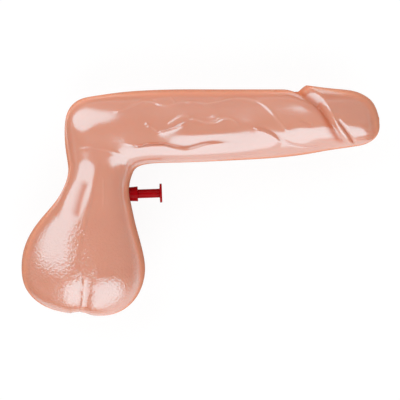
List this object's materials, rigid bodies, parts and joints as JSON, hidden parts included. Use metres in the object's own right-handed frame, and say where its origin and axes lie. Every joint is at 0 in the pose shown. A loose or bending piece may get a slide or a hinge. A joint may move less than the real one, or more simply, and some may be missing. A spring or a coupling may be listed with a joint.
{
  "type": "novelty water squirter",
  "caption": "Adult party novelty, not for children: squirt pistol with a hollow anatomically shaped body as water tank, red push plunger, piston pump with ball valves and a filler plug.",
  "frame": {"origin": "bottom centre of the bounding box of the squirter lying on its left side", "axes": "+X along the barrel toward the nozzle, +Y up the grip from the bulb to the barrel, +Z from the left side that lies on the floor to the right side that the picture shows"},
  "size_m": [0.1967, 0.1264, 0.0479],
  "materials": {
    "body_plastic": "glossy moulded skin, slightly translucent flesh colour",
    "plunger_red": "glossy moulded red",
    "ring_rubber": "matt black rubber",
    "pump_white": "natural white moulded plastic",
    "valve_white": "natural white moulded plastic",
    "spring_steel": "bright drawn wire",
    "tube_clear": "clear soft tubing",
    "ball_steel": "polished steel",
    "nozzle_plastic": "natural white moulded plastic",
    "plug_rubber": "soft flesh-coloured stopper"
  },
  "bodies": {
    "body": {"right_body_half": "body_plastic", "left_body_half": "body_plastic", "plunger_collar": "plunger_red", "mouth_gasket": "ring_rubber", "pump_cylinder": "pump_white", "return_spring": "spring_steel", "valve_block": "valve_white", "inlet_spigot": "valve_white", "outlet_spigot": "valve_white", "suction_tube": "tube_clear", "delivery_tube": "tube_clear", "nozzle_insert": "nozzle_plastic"},
    "trigger": {"trigger_plunger": "plunger_red", "piston_o_ring": "ring_rubber"},
    "inlet_ball": {"inlet_ball": "ball_steel"},
    "outlet_ball": {"outlet_ball": "ball_steel"},
    "filler_plug": {"filler_plug": "plug_rubber"}
  },
  "joints": [
    {"name": "trigger_slide", "type": "slide", "parent": "body", "child": "trigger", "axis": [-0.9994, -0.0349, 0], "range_m": [0, 0.0102], "stiffness_N_per_m": 400, "springref_m": -0.005, "deforming": ["return_spring"]},
    {"name": "inlet_ball_lift", "type": "slide", "parent": "body", "child": "inlet_ball", "axis": [-0.0349, 0.9994, 0], "range_m": [0, 0.0011]},
    {"name": "outlet_ball_lift", "type": "slide", "parent": "body", "child": "outlet_ball", "axis": [-0.0349, 0.9994, 0], "range_m": [0, 0.0011]},
    {"name": "filler_plug_pull", "type": "slide", "parent": "body", "child": "filler_plug", "axis": [0, 0, -1], "range_m": [0, 0.0042]}
  ]
}
